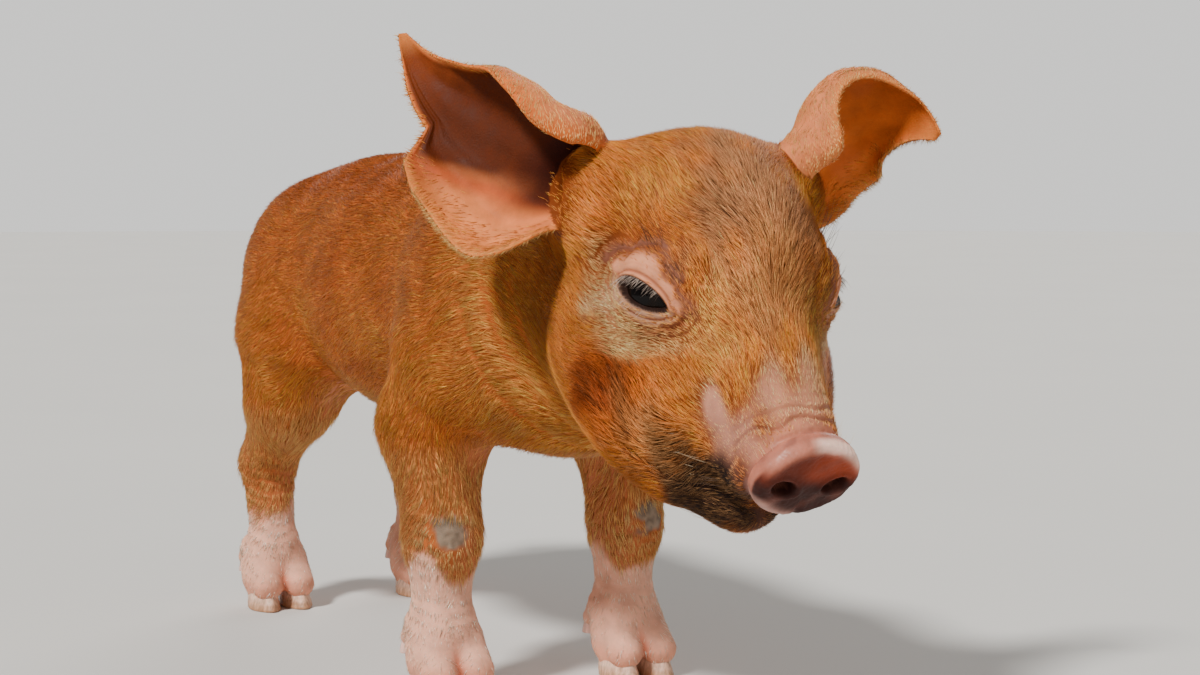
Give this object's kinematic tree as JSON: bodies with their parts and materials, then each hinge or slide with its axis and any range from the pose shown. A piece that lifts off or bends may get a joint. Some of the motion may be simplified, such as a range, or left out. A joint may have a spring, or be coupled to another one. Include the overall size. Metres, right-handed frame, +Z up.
{
  "type": "young domestic pig, still model",
  "caption": "Life-size still model of a young red domestic pig, standing on all feet, head lowered, with large folded ears and a looped tail.",
  "frame": {"origin": "on the floor, under the middle of the box round the whole animal", "axes": "+X from tail to snout, +Y to the animal's left, +Z up"},
  "size_m": [0.4358, 0.1776, 0.2467],
  "materials": {
    "coat": "short ginger hair over pink skin, matt with a slight sheen",
    "bare_skin": "bare moist pink to purple-brown skin",
    "horn": "pale dull claw horn, darker at the sole edge",
    "eye": "wet, nearly black brown"
  },
  "bodies": {
    "root": {"head": "coat", "neck": "coat", "torso": "coat", "tail": "coat", "ear_left": "coat", "ear_right": "coat", "foreleg_left": "coat", "foreleg_right": "coat", "hindleg_left": "coat", "hindleg_right": "coat", "snout": "bare_skin", "eye_left": "eye", "eye_right": "eye", "claw_foreleg_left_inner": "horn", "claw_foreleg_left_outer": "horn", "claw_foreleg_right_inner": "horn", "claw_foreleg_right_outer": "horn", "claw_hindleg_left_inner": "horn", "claw_hindleg_left_outer": "horn", "claw_hindleg_right_inner": "horn", "claw_hindleg_right_outer": "horn", "dewclaw_foreleg_left_inner": "horn", "dewclaw_foreleg_left_outer": "horn", "dewclaw_foreleg_right_inner": "horn", "dewclaw_foreleg_right_outer": "horn", "dewclaw_hindleg_left_inner": "horn", "dewclaw_hindleg_left_outer": "horn", "dewclaw_hindleg_right_inner": "horn", "dewclaw_hindleg_right_outer": "horn"}
  },
  "joints": []
}
